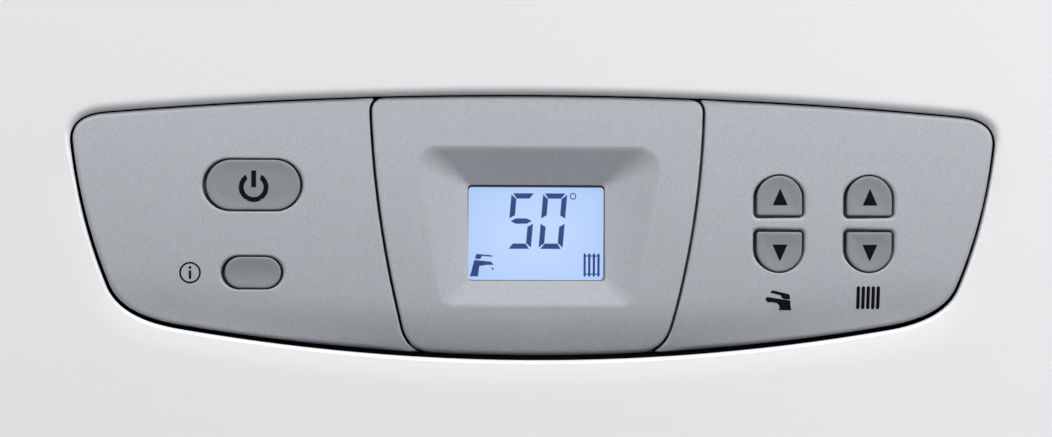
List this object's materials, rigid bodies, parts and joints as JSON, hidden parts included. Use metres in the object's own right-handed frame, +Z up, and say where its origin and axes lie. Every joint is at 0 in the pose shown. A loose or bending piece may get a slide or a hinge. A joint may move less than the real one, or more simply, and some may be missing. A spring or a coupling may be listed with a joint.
{
  "type": "condensing combi boiler",
  "caption": "Wall-hung condensing combi boiler: white bowed casing with a hinged grey control panel, display recess, buttons, burner, fan and hydraulics inside.",
  "frame": {"origin": "on the wall face of the back plate, at the middle of the casing's width and height", "axes": "+X to the viewer's right, +Y into the wall, +Z up; the front faces -Y"},
  "size_m": [0.44, 0.34, 0.9006],
  "materials": {
    "casing_white": "gloss white enamel",
    "zinc_sheet": "zinc-coated sheet",
    "panel_grey": "fine-textured grey moulding",
    "button_grey": "fine-textured darker grey moulding",
    "window_clear": "clear polished",
    "display_light": "backlit pale blue",
    "board_green": "coated circuit board",
    "black_plastic": "moulded black",
    "white_plastic": "moulded white",
    "stainless": "pressed stainless steel",
    "cast_alloy": "as cast",
    "ceramic_white": "unglazed",
    "copper": "copper tube",
    "vessel_grey": "grey primer",
    "brass": "machined",
    "cast_iron": "dark coated casting",
    "hose_grey": "soft hose",
    "red_plastic": "moulded red"
  },
  "bodies": {
    "chassis": {"side_panel_left": "casing_white", "side_panel_right": "casing_white", "top_plate": "casing_white", "back_plate": "zinc_sheet", "bottom_plate": "zinc_sheet", "hinge_crossmember": "zinc_sheet", "fan_motor": "black_plastic", "air_silencer": "black_plastic", "diverter_motor": "black_plastic", "flue_collar": "white_plastic", "flue_outlet_pipe": "white_plastic", "condensate_trap": "white_plastic", "heat_exchanger_shell": "stainless", "exchanger_coil": "stainless", "burner_tube": "stainless", "plate_heat_exchanger": "stainless", "burner_door": "cast_alloy", "fan_housing": "cast_alloy", "venturi_mixer": "cast_alloy", "gas_valve": "cast_alloy", "pump_motor": "cast_alloy", "ignition_electrode": "ceramic_white", "gas_pipe": "copper", "vessel_pipe": "copper", "flow_pipe": "copper", "return_pipe": "copper", "hot_water_pipe": "copper", "expansion_vessel": "vessel_grey", "flow_manifold": "brass", "return_manifold": "brass", "air_vent": "brass", "pressure_relief_valve": "brass", "heating_flow_valve": "brass", "gas_service_valve": "brass", "cold_water_valve": "brass", "heating_return_valve": "brass", "pump_body": "cast_iron", "condensate_hose": "hose_grey"},
    "cover": {"front_cover": "casing_white"},
    "control_panel": {"fascia_left": "panel_grey", "fascia_centre": "panel_grey", "fascia_right": "panel_grey", "display_window": "window_clear", "lcd_module": "display_light", "display_board": "board_green", "main_board": "board_green", "control_tray": "black_plastic"},
    "fan_rotor": {"fan_impeller": "black_plastic"},
    "pump_rotor": {"pump_impeller": "white_plastic"},
    "relief_knob": {"relief_valve_knob": "red_plastic"},
    "power_button_body": {"power_button": "button_grey"},
    "info_button_body": {"info_button": "button_grey"},
    "hot_water_up_button_body": {"hot_water_up_button": "button_grey"},
    "hot_water_down_button_body": {"hot_water_down_button": "button_grey"},
    "heating_up_button_body": {"heating_up_button": "button_grey"},
    "heating_down_button_body": {"heating_down_button": "button_grey"},
    "heating_flow_lever_body": {"heating_flow_lever": "red_plastic"},
    "gas_service_lever_body": {"gas_service_lever": "red_plastic"},
    "cold_water_lever_body": {"cold_water_lever": "red_plastic"},
    "heating_return_lever_body": {"heating_return_lever": "red_plastic"}
  },
  "joints": [
    {"name": "control_panel_swing", "type": "hinge", "parent": "chassis", "child": "control_panel", "pos_m": [0, -0.335, -0.268], "axis": [1, 0, 0], "range_deg": [0, 80]},
    {"name": "cover_slide", "type": "slide", "parent": "chassis", "child": "cover", "axis": [0, -1, 0], "range_m": [0, 0.25]},
    {"name": "fan_spin", "type": "hinge", "parent": "chassis", "child": "fan_rotor", "pos_m": [0.138, -0.28, 0.15], "axis": [0, 1, 0], "continuous": true},
    {"name": "heating_flow_lever_turn", "type": "hinge", "parent": "chassis", "child": "heating_flow_lever_body", "pos_m": [-0.14, -0.174, -0.4213], "axis": [0, -1, 0], "range_deg": [0, 90]},
    {"name": "gas_service_lever_turn", "type": "hinge", "parent": "chassis", "child": "gas_service_lever_body", "pos_m": [0, -0.174, -0.4213], "axis": [0, -1, 0], "range_deg": [0, 90]},
    {"name": "cold_water_lever_turn", "type": "hinge", "parent": "chassis", "child": "cold_water_lever_body", "pos_m": [0.07, -0.174, -0.4213], "axis": [0, -1, 0], "range_deg": [0, 90]},
    {"name": "heating_return_lever_turn", "type": "hinge", "parent": "chassis", "child": "heating_return_lever_body", "pos_m": [0.14, -0.174, -0.4213], "axis": [0, -1, 0], "range_deg": [0, 90]},
    {"name": "pump_spin", "type": "hinge", "parent": "chassis", "child": "pump_rotor", "pos_m": [0.14, -0.16, -0.205], "axis": [0, 1, 0], "continuous": true},
    {"name": "relief_knob_turn", "type": "hinge", "parent": "chassis", "child": "relief_knob", "pos_m": [0.14, -0.232, -0.32], "axis": [0, -1, 0], "range_deg": [0, 90]},
    {"name": "power_button_press", "type": "slide", "parent": "control_panel", "child": "power_button_body", "axis": [0, 1, 0], "range_m": [0, 0.0012], "stiffness_N_per_m": 1200, "springref_m": -0.0003},
    {"name": "info_button_press", "type": "slide", "parent": "control_panel", "child": "info_button_body", "axis": [0, 1, 0], "range_m": [0, 0.0012], "stiffness_N_per_m": 1200, "springref_m": -0.0003},
    {"name": "hot_water_up_button_press", "type": "slide", "parent": "control_panel", "child": "hot_water_up_button_body", "axis": [0, 1, 0], "range_m": [0, 0.0012], "stiffness_N_per_m": 1200, "springref_m": -0.0003},
    {"name": "hot_water_down_button_press", "type": "slide", "parent": "control_panel", "child": "hot_water_down_button_body", "axis": [0, 1, 0], "range_m": [0, 0.0012], "stiffness_N_per_m": 1200, "springref_m": -0.0003},
    {"name": "heating_up_button_press", "type": "slide", "parent": "control_panel", "child": "heating_up_button_body", "axis": [0, 1, 0], "range_m": [0, 0.0012], "stiffness_N_per_m": 1200, "springref_m": -0.0003},
    {"name": "heating_down_button_press", "type": "slide", "parent": "control_panel", "child": "heating_down_button_body", "axis": [0, 1, 0], "range_m": [0, 0.0012], "stiffness_N_per_m": 1200, "springref_m": -0.0003}
  ]
}
